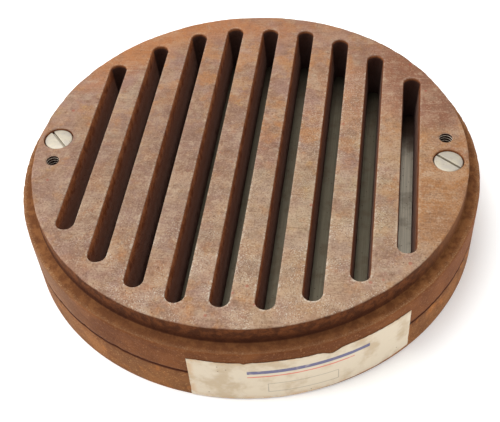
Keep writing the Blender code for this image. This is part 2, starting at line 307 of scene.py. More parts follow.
def add_slot(bm, x, half_length, end_radius, levels, segments=48, cuts=28):
    """Add a cutter for a round-ended slot along Y, its outline carried through the levels."""
    straight = half_length - end_radius
    ring = bmesh.ops.create_circle(bm, segments=segments, radius=end_radius)["verts"]
    half_step = Matrix.Rotation(math.pi / segments, 3, "Z")
    bmesh.ops.rotate(bm, verts=ring, cent=(0, 0, 0), matrix=half_step)
    for side in (-1, 1):
        end = [vert for vert in ring if vert.co.y * side > 0]
        bmesh.ops.translate(bm, verts=end, vec=(0, side * straight, 0))
    bmesh.ops.translate(bm, verts=ring, vec=(x, 0, 0))
    edges = list({edge for vert in ring for edge in vert.link_edges})
    sides = [edge for edge in edges if edge.calc_length() > straight]
    made = bmesh.ops.subdivide_edges(bm, edges=sides, cuts=cuts)["geom"]
    edges = list(set(edges) | {item for item in made if isinstance(item, bmesh.types.BMEdge)})
    for number, level in enumerate(levels):
        if number:
            made = bmesh.ops.extrude_edge_only(bm, edges=edges)["geom"]
            edges = [item for item in made
                     if isinstance(item, bmesh.types.BMEdge) and item.is_boundary]
        for vert in {vert for edge in edges for vert in edge.verts}:
            middle = Vector((x, max(-straight, min(straight, vert.co.y)), 0))
            outward = Vector((vert.co.x - x, vert.co.y - middle.y, 0)).normalized()
            half_width, height = level(noise.noise((middle + outward * end_radius) / (3 * MM)))
            vert.co = middle + outward * half_width
            vert.co.z = height
    close_ends(bm)


def pocket(bm, settings, z_low, z_high, steps=192):
    """Add the channels' pocket: a disc with a flat on its left and right."""
    revolve(bm, [(settings.pocket_radius, z_high), (settings.pocket_radius, z_low)], steps)
    for side in (-1, 1):
        bmesh.ops.bisect_plane(
            bm, geom=bm.verts[:] + bm.edges[:] + bm.faces[:],
            plane_co=(side * settings.pocket_half_width, 0, 0), plane_no=(side, 0, 0),
            clear_outer=True)
        close_ends(bm)


def add_object(name, data):
    """Make an object and put it in the scene."""
    made = bpy.data.objects.new(name, data)
    bpy.context.scene.collection.objects.link(made)
    return made


def to_mesh(name, bm):
    mesh = bpy.data.meshes.new(name)
    bm.to_mesh(mesh)
    bm.free()
    return mesh


def carve(bm, cutters):
    """Subtract closed cutters from a closed shape and give the result as a new bmesh."""
    target = add_object("target", to_mesh("target", bm))
    tools = [add_object("tool", to_mesh("tool", cutter)) for cutter in cutters]
    for tool in tools:
        boolean = target.modifiers.new("cut", "BOOLEAN")
        boolean.operation = "DIFFERENCE"
        boolean.solver = "EXACT"
        boolean.object = tool
    evaluated = target.evaluated_get(bpy.context.evaluated_depsgraph_get())
    carved = bmesh.new()
    carved.from_mesh(evaluated.to_mesh())
    evaluated.to_mesh_clear()
    for obj in [target, *tools]:
        mesh = obj.data
        bpy.data.objects.remove(obj)
        bpy.data.meshes.remove(mesh)
    return carved


def nick_edges(bm, edges, depth, reach=1.4 * MM):
    """Knock uneven nicks into outer edges, each given as its (radius, height, up or down)."""
    for vert in bm.verts:
        radius = math.hypot(vert.co.x, vert.co.y)
        for edge_radius, edge_z, up in edges:
            away = math.hypot(radius - edge_radius, vert.co.z - edge_z)
            if away < reach:
                flat = Vector((vert.co.x, vert.co.y, edge_z))
                dents = max(0, noise.noise(flat / (2.2 * MM))) + max(0, noise.noise(flat / (7 * MM)))
                bite = depth * (1 - away / reach) * dents
                vert.co.x *= 1 - bite / radius
                vert.co.y *= 1 - bite / radius
                vert.co.z -= up * bite


def add_piece(name, bm, material, slot, replaces, body=BODY):
    """Make the finished object, shade it, and tie it to its solid's body."""
    for face in bm.faces:
        face.smooth = len(face.verts) <= 4
    piece = add_object(name, to_mesh(name, bm))
    piece.data.set_sharp_from_angle(angle=SHARP_ANGLE)
    piece.data.materials.append(material)
    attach(piece, body)
    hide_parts(replaces)
    return piece


def port_half_length(number, seat):
    """Work a port's half length in the top face back from its channel's."""
    channel_half_length = CHANNEL_BOXES[number][1].y
    return channel_half_length - seat.channel_lap + (seat.port_width - seat.throat_width) / 2


def port_x(number):
    low, high = CHANNEL_BOXES[number]
    return (low.x + high.x) / 2


def fastener_place(fasteners, side, turn=0.0):
    """Give the place at an angle from the left (-1) or right (1) end of the screws' line."""
    return (side * fasteners.circle * math.cos(turn), side * fasteners.circle * math.sin(turn))


def chamfered_hole(radius, z_low, z_high, chamfer=0.3 * MM):
    """Profile of a cutter for a plain hole down from a face, with a small chamfer."""
    return [(radius + chamfer + MM, z_high + MM), (radius, z_high - chamfer), (radius, z_low)]


def thread_profile(inner_radius, outer_radius, pitch, z_high, z_low):
    """Profile of a vee thread from the top down."""
    points = []
    turns = int((z_high - z_low) / pitch)
    for turn in range(turns):
        z = z_high - turn * pitch
        points += [(inner_radius, z), (outer_radius, z - 0.44 * pitch),
                   (outer_radius, z - 0.56 * pitch)]
    return points + [(inner_radius, z_high - turns * pitch)]


def fastener_cutters(fasteners, screw_hole, dowel_bottom, dowel_top):
    """Cutters for the screw and dowel holes of one plate."""
    cutters = bmesh.new()
    radius = fasteners.dowel_radius + GAP
    for side in (-1, 1):
        revolve(cutters, screw_hole, 48, fastener_place(fasteners, side))
        place = fastener_place(fasteners, side, fasteners.dowel_angle)
        revolve(cutters, [(radius, dowel_top), (radius, dowel_bottom)], 32, place)
    return cutters


# ---------------------------------------- finishes

class Value:
    """One output of a material's nodes. Arithmetic on it adds Math nodes."""

    def __init__(self, finish, socket):
        self.finish = finish
        self.socket = socket

    def math(self, operation, *others):
        return self.finish.add("ShaderNodeMath", {"operation": operation}, (self, *others))

    def __add__(self, other):
        return self.math("ADD", other)

    def __sub__(self, other):
        return self.math("SUBTRACT", other)

    def __rsub__(self, other):
        return self.finish.add("ShaderNodeMath", {"operation": "SUBTRACT"}, (other, self))

    def __mul__(self, other):
        return self.math("MULTIPLY", other)

    def __truediv__(self, other):
        return self.math("DIVIDE", other)

    def __pow__(self, other):
        return self.math("POWER", other)

    def __abs__(self):
        return self.math("ABSOLUTE")

    __radd__ = __add__
    __rmul__ = __mul__

    def rise(self, low, high):
        """Go smoothly from 0 at low to 1 at high; high may be the smaller of the two."""
        return self.finish.add(
            "ShaderNodeMapRange", {"interpolation_type": "SMOOTHSTEP"},
            {"Value": self, "From Min": low, "From Max": high})

    def within(self, low, high, edge):
        """Be 1 between low and high, with soft edges."""
        return self.rise(low - edge, low + edge) * self.rise(high + edge, high - edge)


class Finish:
    """A material being made, with places and patterns counted in millimetres."""

    def __init__(self, name):
        self.material = bpy.data.materials.new(name)
        self.material.use_nodes = True
        self.tree = self.material.node_tree
        self.shader = self.tree.nodes["Principled BSDF"]
        place = self.add("ShaderNodeTexCoord", output="Object")
        self.place = self.add(
            "ShaderNodeVectorMath", {"operation": "SCALE"}, {"Vector": place, "Scale": 1 / MM})

    def add(self, kind, settings=None, sockets=(), output=0):
        """Add a node: its settings first, then its sockets' values or links."""
        node = self.tree.nodes.new(kind)
        for key, value in (settings or {}).items():
            setattr(node, key, value)
        pairs = sockets.items() if isinstance(sockets, dict) else enumerate(sockets)
        for key, value in pairs:
            self.feed(node.inputs[key], value)
        return Value(self, node.outputs[output])

    def feed(self, socket, value):
        if isinstance(value, Value):
            self.tree.links.new(value.socket, socket)
        else:
            socket.default_value = value

    def axes(self):
        """Give x, y and z in millimetres."""
        return [self.add("ShaderNodeSeparateXYZ", sockets=(self.place,), output=axis)
                for axis in range(3)]

    def spread(self, seed, stretch=(1, 1, 1)):
        """Give the place moved by a seed and stretched, for a pattern of its own."""
        moved = self.add(
            "ShaderNodeVectorMath", {"operation": "ADD"},
            (self.place, (seed * 37.0, seed * 91.0, seed * 53.0)))
        return self.add("ShaderNodeVectorMath", {"operation": "MULTIPLY"}, (moved, stretch))

    def cloud(self, size, seed, detail=3, roughness=0.55, stretch=(1, 1, 1)):
        """Give cloudy noise whose patches are about a size across, from 0 to 1."""
        return self.add(
            "ShaderNodeTexNoise", None,
            {"Vector": self.spread(seed, stretch), "Scale": 1 / size, "Detail": detail,
             "Roughness": roughness})

    def cells(self, size, seed):
        """Give the distance to the nearest of scattered points about a size apart."""
        return self.add(
            "ShaderNodeTexVoronoi", None, {"Vector": self.spread(seed), "Scale": 1 / size})

    def mix(self, share, under, over):
        """Lay one colour over another."""
        return self.add(
            "ShaderNodeMix", {"data_type": "RGBA"}, {0: share, 6: under, 7: over}, output=2)

    def lay(self, colour, *coats):
        """Lay coats over a colour, one after another; each is its share and its tone."""
        for share, tone in coats:
            colour = self.mix(share, colour, tone)
        return colour

    def bump(self, height, strength, distance):
        """Turn a height of about 0 to 1 into a normal; the distance is in metres."""
        return self.add(
            "ShaderNodeBump", None,
            {"Strength": strength, "Distance": distance, "Height": height})

    def done(self, colour, roughness, metallic=0.0, normal=None, specular=0.5):
        """Feed the shader and give the material."""
        self.feed(self.shader.inputs["Base Color"], colour)
        self.feed(self.shader.inputs["Roughness"], roughness)
        self.feed(self.shader.inputs["Metallic"], metallic)
        self.shader.inputs["Specular IOR Level"].default_value = specular
        if normal:
            self.feed(self.shader.inputs["Normal"], normal)
        return self.material


def hypot(across, along):
    """Give the distance that two sides at a right angle span."""
    return (across * across + along * along) ** 0.5


def port_distance(x, y, seat):
    """Give the millimetres to the nearest port's rim, and those past its straight part."""
    pitch = PITCH / MM
    side_count = NUMBERS[-1] - MIDDLE
    column = (x / pitch).math("ROUND").math("MINIMUM", side_count).math("MAXIMUM", -side_count)
    straight = 0
    for number in NUMBERS[MIDDLE - 1:]:
        half = (port_half_length(number, seat) - seat.port_width / 2) / MM
        straight = straight + abs(column).math("COMPARE", number - MIDDLE, 0.1) * half
    beyond = (abs(y) - straight).math("MAXIMUM", 0)
    return hypot(x - column * pitch, beyond) - seat.port_width / MM / 2, beyond


class SeatRust(Finish):
    """The seat's finish, with the places and patterns that its surfaces share."""

    def __init__(self, seat):
        super().__init__("seat_iron")
        self.x, self.y, self.z = self.axes()
        self.radius = hypot(self.x, self.y)
        self.port, self.beyond = port_distance(self.x, self.y, seat)
        self.patch = self.cloud(13, 2, 4, 0.6)
        self.mottle = self.cloud(3.2, 3, 4, 0.65)
        self.grain = self.cloud(0.75, 4, 2, 0.6)
        self.fleck = self.cloud(0.55, 5, 2, 0.6)
        self.scratches = self.cloud(1.0, 16, 2, 0.5, (0.04, 1.5, 1))

    def zone(self, middle_x, middle_y, reach_x, reach_y, raggedness=0.5):
        """Be 1 in the middle of an oval and 0 beyond its ragged edge."""
        across, along = (self.x - middle_x) / reach_x, (self.y - middle_y) / reach_y
        ragged = (self.patch - 0.5) * raggedness * 8
        return (across * across + along * along + ragged).rise(1.2, 0.1)


def face_rust(iron, seat):
    """Top face: tan, browner at the back and the rim, darker in the middle, paler in front."""
    x, y, radius, mottle, grain = iron.x, iron.y, iron.radius, iron.mottle, iron.grain
    zone, cloud, scratches = iron.zone, iron.cloud, iron.scratches
    lively = (x * 0.5 - y).rise(-70, 10) * 0.45 + 0.55
    worn_patch, dull_patch = cloud(13, 30, 4, 0.68), cloud(5, 31, 4, 0.68)
    speckled = ((x * 0.35 - y).rise(-10, 78) * 0.8 + 0.1) * cloud(9, 17, 4, 0.65).rise(0.42, 0.6)
    speckled = (speckled + zone(34, 22, 20, 34) * 0.45).math("MINIMUM", 1)
    speckled = speckled * (1 - x.rise(52, 70) * 0.75)
    # Painted highlight and extra wear on the rounded near ends of the front ports
    near_end_wear_and_highlight = y.rise(-35, -60) * iron.beyond.rise(0, 1)
    worn = iron.port.rise(1.3, 0.1) * cloud(1.4, 10, 3, 0.7).rise(0.46, 0.6)
    worn = worn * (0.15 + speckled * 0.75 + near_end_wear_and_highlight * 0.3).math("MINIMUM", 1)
    return iron.lay(
        seat.tan,
        # Broad tones and patches
        (y.rise(0, 70) * 0.75, lit(165, 118, 89)),
        (zone(-6, 10, 48, 46) * 0.7, lit(154, 116, 91)),
        (zone(43, -30, 24, 52) * 0.8, lit(181, 157, 125)),
        (y.rise(-30, -80) * 0.85, lit(181, 148, 118)),
        (cloud(38, 1, 2).rise(0.48, 0.6) * 0.7, lit(163, 126, 110)),
        (cloud(12, 6).rise(0.52, 0.66) * 0.75, lit(157, 114, 97)),
        (cloud(8, 7).rise(0.56, 0.68) * 0.7, lit(183, 124, 78)),
        (cloud(6, 8).rise(0.62, 0.72) * 0.6, lit(189, 151, 94)),
        (cloud(9, 14).rise(0.53, 0.68) * 0.75, lit(183, 159, 134)),
        (cloud(4.5, 15, 4, 0.7).rise(0.6, 0.7) * 0.6, lit(148, 89, 64)),
        (cloud(7, 24, 4, 0.65).rise(0.52, 0.66) * 0.5, lit(134, 101, 80)),
        (cloud(5, 25, 4, 0.65).rise(0.55, 0.68) * 0.45, lit(198, 170, 142)),
        (mottle.rise(0.5, 0.7) * 0.5, lit(126, 89, 66)),
        (mottle.rise(0.48, 0.3) * 0.45, lit(197, 163, 130)),
        (cloud(17, 26).rise(0.5, 0.6) * 0.45, lit(164, 130, 118)),
        (cloud(15, 27).rise(0.51, 0.6) * (0.3 + (x + y * 2).rise(-20, 60) * 0.4),
         lit(186, 129, 83)),
        (cloud(7, 28, 4, 0.65).rise(0.54, 0.64) * 0.35, lit(190, 137, 83)),
        (cloud(8, 29, 4, 0.65).rise(0.54, 0.64) * 0.35, lit(163, 130, 121)),
        # Ovals where one tone prevails
        (zone(-36, -20, 46, 54, 0.3) * 0.4, lit(142, 114, 98)),
        (zone(24, -34, 40, 34, 0.3) * 0.35, lit(180, 160, 132)),
        (zone(42, -74, 34, 18, 0.3) * 0.4, lit(196, 166, 132)),
        (zone(44, 34, 30, 28, 0.4) * 0.5, lit(183, 127, 90)),
        (zone(77, -20, 20, 32, 0.4) * 0.8, lit(176, 122, 74)),
        (zone(58, 10, 20, 18) * 0.4, lit(190, 144, 96)),
        (zone(64, 34, 18, 16) * 0.5, lit(160, 118, 102)),
        (zone(6, 84, 74, 20, 0.3) * 0.4, lit(166, 112, 82)),
        (zone(66, 48, 34, 36, 0.3) * radius.rise(56, 78) * 0.85, lit(145, 96, 73)),
        (zone(-46, 66, 62, 40, 0.3) * radius.rise(64, 82) * 0.8, lit(188, 122, 74)),
        # Light and dark at every scale
        (worn_patch.rise(0.5, 0.62) * 0.34 * lively, lit(138, 104, 84)),
        (worn_patch.rise(0.49, 0.38) * 0.34 * lively, lit(203, 174, 145)),
        (dull_patch.rise(0.54, 0.68) * 0.42 * lively, lit(128, 94, 74)),
        (dull_patch.rise(0.46, 0.32) * 0.42 * lively, lit(206, 178, 150)),
        (scratches.rise(0.58, 0.72) * 0.3, lit(120, 87, 68)),
        (scratches.rise(0.42, 0.3) * 0.25, lit(203, 176, 148)),
        (grain.rise(0.54, 0.7) * lively * 0.55, lit(126, 93, 71)),
        (grain.rise(0.46, 0.34) * lively * 0.4, lit(201, 171, 141)),
        # Specks, spots and the ports' worn rims, with a painted highlight added on the front ports'
        # near ends
        (iron.fleck.rise(0.54, 0.66) * speckled * 0.8, seat.pale),
        (cloud(0.6, 18, 2).rise(0.64, 0.72) * 0.7, lit(95, 60, 43)),
        (iron.cells(11, 9).rise(0.09, 0.04) * 0.5, lit(167, 64, 47)),
        (worn, seat.pale))


def wall_rust(iron):
    """Walls of ports and holes: rusty under the face, dull further down, with painted shade on the
    far-end walls.
    """
    below = TOP_MM - iron.z
    depth = below + (iron.mottle - 0.5) * 8
    # Painted shade darkens the ports' far-end walls from just under the face downwards
    far_end_shade = iron.beyond.rise(0.3, 1.6) * iron.y.rise(-20, 20) * below.rise(0.5, 2.0)
    return iron.lay(
        lit(146, 84, 46),
        (iron.mottle.rise(0.38, 0.62), lit(182, 114, 70)),
        (iron.cloud(5, 19).rise(0.5, 0.66) * 0.6, lit(120, 66, 44)),
        (depth.rise(3, 8), lit(168, 126, 106)),
        (depth.rise(9, 14), lit(184, 150, 136)),
        (depth.rise(14, 20), lit(120, 92, 84)),
        (far_end_shade * 0.92, lit(60, 40, 36)))


def disc_rust(iron):
    """Side of the raised disc: dark, with painted shade at its foot, and lighter and browner to the
    left and right, partly its rust and partly painted light.
    """
    # Lighter to the left and right: partly the rust's colour, partly painted light from the sides
    sides = (iron.x * -1).rise(44, 84) + iron.x.rise(62, 86)
    # Painted shade at the disc's foot above the ledge, less of it to the right
    foot = iron.z.rise(LEDGE_MM + 5, LEDGE_MM + 1) * (0.7 - iron.x.rise(45, 80) * 0.6)
    return iron.lay(
        lit(85, 44, 18),
        (iron.mottle.rise(0.4, 0.64), lit(121, 68, 34)),
        (sides * 0.7, lit(146, 95, 58)),
        (foot, lit(70, 32, 14)))


def ledge_rust(iron):
    """Gasket ledge: brown, specked pale along its edge under a painted highlight there, and with
    painted shade in front.
    """
    edge_speck = iron.fleck.rise(0.52, 0.64) * iron.radius.rise(RIM_MM - 2.6, RIM_MM - 0.5)
    return iron.lay(
        lit(118, 70, 36),
        (iron.mottle.rise(0.4, 0.62), lit(147, 95, 54)),
        # Painted highlight along the ledge's outer edge
        (iron.radius.rise(RIM_MM - 1.8, RIM_MM - 0.4) * 0.4, lit(170, 122, 84)),
        (edge_speck * 0.5, lit(203, 164, 123)),
        # Painted shade: darker towards the front
        (iron.y.rise(-62, -84) * 0.45, lit(98, 56, 30)))


def flange_rust(iron):
    """Flange's rim: streaked brown, lighter to the left and right, partly its rust and partly painted
    light, dark at the joint.
    """
    joint = SEAT_BOTTOM / MM
    streak = iron.cloud(3, 32, 4, 0.7, (0.5, 0.5, 1.6))
    return iron.lay(
        lit(119, 68, 34),
        (iron.patch.rise(0.38, 0.66), lit(141, 85, 45)),
        # Lighter to the left and to the right in these two coats: partly the rust's colour, partly
        # painted light from the sides
        ((iron.x * -1).rise(40, 80) * 0.6, lit(166, 128, 98)),
        (iron.x.rise(62, 88) * 0.35, lit(160, 98, 58)),
        (streak.rise(0.5, 0.68) * 0.4, lit(100, 54, 28)),
        (iron.grain.rise(0.58, 0.7) * 0.4, lit(199, 145, 97)),
        (iron.z.rise(joint + 1.0, joint + 0.3), lit(78, 36, 15)))


def painted_thread_light(iron, colour, fasteners):
    """Paint light and shade over the walls of the puller holes: a painted highlight on the thread
    crests and painted shade in the roots.
    """
    under_face = iron.z.rise(TOP_MM - 0.3, TOP_MM - 0.6)
    for side in (-1, 1):
        hole_x, hole_y = fastener_place(fasteners, side, fasteners.puller_angle)
        away = hypot(iron.x - hole_x / MM, iron.y - hole_y / MM)
        # Painted highlight at the crests nearest the hole's middle, painted shade towards the roots
        steel = iron.mix(away.rise(2.8, 2.65), lit(70, 44, 34), lit(255, 236, 214))
        colour = iron.mix(away.rise(3.9, 3.4) * under_face, colour, steel)
    return colour


def seat_iron(seat, fasteners):
    """Machined iron under worn brown rust; darker on its walls and down its ports, with painted light
    and shade on the walls, rims and threads.
    """
    iron = SeatRust(seat)
    z, radius = iron.z, iron.radius
    face_radius = seat.face_radius / MM
    outside = radius.rise(face_radius + 0.1, face_radius + 0.5)
    colour = iron.lay(
        wall_rust(iron),
        (radius.rise(face_radius - 1.2, face_radius - 0.4), disc_rust(iron)),
        (outside * z.rise(LEDGE_MM + 1.2, LEDGE_MM + 0.4), ledge_rust(iron)),
        (radius.rise(RIM_MM - 0.6, RIM_MM - 0.1), flange_rust(iron)),
        (z.rise(TOP_MM - 0.75, TOP_MM - 0.15), face_rust(iron, seat)))
    colour = painted_thread_light(iron, colour, fasteners)
    pits = iron.cells(1.7, 11).rise(0.32, 0.1) * iron.cloud(6, 12).rise(0.45, 0.6)
    rough_wall = z.rise(TOP_MM - 0.2, TOP_MM - 0.8)
    height = iron.mottle * 0.5 + iron.grain * (0.5 + rough_wall * 0.6) - pits * 0.5
    height = height + iron.scratches * 0.3
    roughness = 0.7 + iron.mottle * 0.25
    return iron.done(colour, roughness, 0.0, iron.bump(height, 0.7, 0.35 * MM), 0.15)


def stop_plate_iron(plate):
    """Turned rim and ground underside of the stop plate under orange-brown rust."""
    iron = Finish("stop_plate_iron")
    x, y, z = iron.axes()
    radius = hypot(x, y)
    top = STOP_TOP / MM
    mottle = iron.cloud(2.6, 23, 4, 0.65)
    grain = iron.cloud(0.7, 24, 2, 0.6)
    inside = radius.rise(RIM_MM - 0.6, RIM_MM - 1.4) * z.rise(0.3, 1.2)
    colour = iron.lay(
        plate.rust,
        (iron.cloud(30, 21).rise(0.4, 0.6), lit(171, 112, 63)),
        (iron.cloud(9, 22, 4, 0.6).rise(0.5, 0.66) * 0.6, lit(129, 77, 40)),
        ((y - x * 0.8).rise(20, 70) * 0.5, lit(179, 133, 97)),
        (z.rise(top - 7, top - 2) * 0.35, lit(112, 64, 33)),
        (iron.cloud(6, 25).rise(0.56, 0.7) * 0.6, lit(198, 123, 60)),
        (mottle.rise(0.5, 0.7) * 0.4, lit(106, 60, 34)),
        (grain.rise(0.56, 0.7) * 0.4, lit(227, 174, 119)),
        (grain.rise(0.44, 0.32) * 0.3, lit(116, 70, 40)),
        (z.rise(top - 1.0, top - 0.3), lit(89, 44, 21)),
        (inside * 0.8, lit(74, 46, 30)))
    grooves = (radius * 4.2).math("SINE") * z.rise(0.6, 0.1) * 0.12
    height = mottle * 0.5 + grain * 0.5 + grooves
    return iron.done(colour, 0.7 + mottle * 0.25, 0.0, iron.bump(height, 0.7, 0.3 * MM), 0.15)


def strip_steel(name, base, seed, half_length, rust):
    """Satin stainless strip with lengthwise brushing, water marks and a far end darkened by painted
    shadow and a painted dark reflection.
    """
    steel = Finish(name)
    y = steel.axes()[1]
    brush = steel.cloud(0.5, seed, 2, 0.5, (1.6, 0.02, 1))
    marks = steel.cloud(7, seed + 1, 4, 0.6)
    # Painted shadow and dark reflection at the strip's far end; the rust argument sets its share
    far_end_shade = (y + marks * 8).rise(half_length - 26, half_length - 8)
    colour = steel.lay(
        base,
        (brush.rise(0.35, 0.65) * 0.25, srgb(70, 66, 56)),
        (marks.rise(0.5, 0.66) * 0.35, srgb(96, 78, 60)),
        (steel.cells(2.4, seed + 2).rise(0.16, 0.06) * 0.5, srgb(60, 44, 34)),
        (far_end_shade * rust, srgb(70, 42, 32)))
    roughness = 0.26 + marks * 0.2 + brush * 0.08
    return steel.done(colour, roughness, 1.0, steel.bump(brush, 0.15, 0.05 * MM))


def plain_steel(name, base, seed, roughness):
    """Bare steel of an inner piece, with oil film and light handling marks."""
    steel = Finish(name)
    film = steel.cloud(6, seed, 4, 0.6)
    grain = steel.cloud(0.6, seed + 1, 2, 0.6)
    colour = steel.mix(film.rise(0.45, 0.65) * 0.5, base, srgb(104, 86, 66))
    return steel.done(
        colour, roughness + film * 0.2, 1.0, steel.bump(grain, 0.2, 0.05 * MM))


def zinc_plate(fasteners):
    """Dull, slightly yellowed zinc on the screws, with painted shade in their slots and down their
    heads.
    """
    zinc = Finish("screw_zinc")
    z = zinc.axes()[2]
    film = zinc.cloud(2.5, 41, 4, 0.6)
    grain = zinc.cloud(0.4, 42, 2, 0.6)
    head_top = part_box("screw_left")[1].z / MM
    colour = zinc.lay(
        fasteners.zinc,
        (film.rise(0.42, 0.62) * 0.4, srgb(196, 186, 160)),
        (zinc.cloud(0.9, 43).rise(0.62, 0.72) * 0.5, srgb(150, 128, 100)),
        # Painted shade: darker from half a millimetre under the head's top downwards
        (z.rise(head_top - 0.5, head_top - 1.2) * 0.4, srgb(120, 108, 88)))
    return zinc.done(colour, 0.42 + film * 0.2, 0.55, zinc.bump(grain + film, 0.2, 0.06 * MM))


def label_paper(label):
    """Aged paper with stains, soft creases and plain printed rules."""
    paper = Finish("label_paper")
    x, y, z = paper.axes()
    along = (y.math("ARCTAN2", x) - label.start) * RIM_MM
    lean = z - along * 0.012
    edge = z.rise(3.5, 0.6) + z.rise(21.5, 24.5) + along.rise(3, 0.5)
    dirty_edge = (edge * paper.cloud(4, 54).rise(0.4, 0.6)).math("MINIMUM", 1)
    worn_ink = paper.cloud(2.5, 55).rise(0.75, 0.5) * 0.4 + 0.6
    band = along.within(21, 66, 0.12) * lean.within(16.4, 18.3, 0.1)
    rule = along.within(21, 60, 0.1) * lean.within(14.2, 14.9, 0.1)
    frame_outside = along.within(28, 54, 0.1) * z.within(4.6, 10.2, 0.1)
    frame_inside = along.within(28.35, 53.65, 0.1) * z.within(4.95, 9.85, 0.1)
    colour = paper.lay(
        label.paper,
        (paper.cloud(11, 51, 4, 0.6).rise(0.46, 0.66) * 0.6, label.stain),
        (paper.cloud(3, 53, 3, 0.55, (1, 1, 2.5)).rise(0.55, 0.7) * 0.3, srgb(196, 184, 170)),
        (dirty_edge * 0.6, srgb(190, 152, 112)),
        (band * worn_ink * 0.85, label.blue_ink),
        (rule * worn_ink * 0.8, label.red_ink),
        ((frame_outside - frame_inside) * worn_ink * 0.6, label.grey_ink),
        (paper.cells(5.5, 56).rise(0.07, 0.03) * 0.7, srgb(112, 92, 78)))
    fibre = paper.cloud(0.5, 52, 3, 0.6)
    crease = paper.cloud(4.5, 57)
    return paper.done(
        colour, 0.82 + fibre * 0.1, 0.0, paper.bump(fibre * 0.25 + crease, 0.45, 0.25 * MM), 0.2)


# ---------------------------------------- operators

class VALVE_OT_seat(bpy.types.Operator):
    """Build the ported seat disc"""
    bl_idname = "valve.seat"
    bl_label = "Seat"

    def execute(self, context):
        valve = context.scene.channel_valve
        seat, fasteners = valve.seat, valve.fasteners
        rounding, fillet = seat.face_rounding, seat.ledge_fillet
        profile = [
            *arc((seat.face_radius - rounding, SEAT_TOP - rounding), rounding, 90, 0),
            *arc((seat.face_radius + fillet, LEDGE_Z + fillet), fillet, 180, 270),
            *rim_profile(LEDGE_Z, SEAT_BOTTOM, seat.rim_rounding)]
        bm = bmesh.new()
        revolve(bm, profile, valve.rim_steps)
        nick_edges(bm, [(seat.face_radius, SEAT_TOP, 0.4), (RIM_RADIUS, LEDGE_Z, 1),
                        (RIM_RADIUS, SEAT_BOTTOM, -1)], seat.nick_depth)

        valve_face = SEAT_BOTTOM + seat.recess_depth
        top_half, throat_half = seat.port_width / 2, seat.throat_width / 2
        low = SEAT_BOTTOM - MM
        taper = (top_half - throat_half) / (SEAT_TOP - valve_face)
        levels = mouth(top_half, SEAT_TOP, 1, seat.port_rounding)
        levels.append(straight_level(top_half - taper * (SEAT_TOP - low), low))
        ports = bmesh.new()
        for number in NUMBERS:
            add_slot(ports, port_x(number), port_half_length(number, seat), top_half, levels)
        recess = bmesh.new()
        pocket(recess, seat, low, valve_face)

        head_floor = SEAT_TOP - fasteners.counterbore_depth
        clearance = fasteners.thread_radius + GAP
        screw_hole = chamfered_hole(fasteners.counterbore_radius, head_floor, SEAT_TOP)
        screw_hole += [(clearance, head_floor), (clearance, low)]
        holes = fastener_cutters(fasteners, screw_hole, low, DOWEL_HIGH.z + GAP)
        pullers = bmesh.new()
        outer = fasteners.thread_radius - 0.05 * MM
        thread_top = SEAT_TOP - 0.45 * MM
        thread = thread_profile(fasteners.puller_radius, outer, fasteners.thread_pitch,
                                thread_top, SEAT_TOP - fasteners.puller_depth)
        countersink = [(outer + 0.15 * MM + MM, SEAT_TOP + MM)]
        for side in (-1, 1):
            revolve(pullers, countersink + thread, 40,
                    fastener_place(fasteners, side, fasteners.puller_angle))
        add_piece("seat_disc", carve(bm, [ports, recess, holes, pullers]), seat_iron(seat, fasteners),
                  "seat_iron", "valve_seat")
        return {"FINISHED"}


class VALVE_OT_stop_plate(bpy.types.Operator):
    """Build the stop plate with its pocket and slots"""
    bl_idname = "valve.stop_plate"
    bl_label = "Stop plate"

    def execute(self, context):
        valve = context.scene.channel_valve
        seat, plate, fasteners = valve.seat, valve.stop_plate, valve.fasteners
        bm = bmesh.new()
        revolve(bm, rim_profile(STOP_TOP, 0, seat.rim_rounding), valve.rim_steps)
        nick_edges(bm, [(RIM_RADIUS, STOP_TOP, 1)], seat.nick_depth)

        hollow = bmesh.new()
        pocket(hollow, seat, POCKET_FLOOR, STOP_TOP + MM)
        slots = bmesh.new()
        high = POCKET_FLOOR + MM
        half, side_half = plate.slot_width / 2, plate.side_slot_width / 2
        levels = [*mouth(half, 0, -1, plate.slot_rounding), straight_level(half, high)]
        side_levels = [*mouth(side_half, 0, -1, plate.slot_rounding),
                       straight_level(side_half, high)]
        for side in (-1, 1):
            for step in range(MIDDLE - 1):
                x = side * (step + 0.5) * PITCH
                half_length = math.sqrt(plate.slot_reach**2 - (abs(x) + half)**2)
                add_slot(slots, x, half_length, half, levels, segments=32, cuts=8)
            x = side * (seat.pocket_half_width - GAP - side_half)
            add_slot(slots, x, plate.side_slot_half_length, side_half, side_levels,
                     segments=32, cuts=8)
        clearance = fasteners.thread_radius + GAP
        chamfer = 0.3 * MM
        screw_hole = [(clearance, STOP_TOP + MM), (clearance, chamfer),
                      (clearance + chamfer + MM, -MM)]
        holes = fastener_cutters(fasteners, screw_hole, DOWEL_LOW.z - GAP, STOP_TOP + MM)
        add_piece("stop_plate_disc", carve(bm, [hollow, slots, holes]), stop_plate_iron(plate),
                  "stop_plate_iron", "stop_plate")
        return {"FINISHED"}


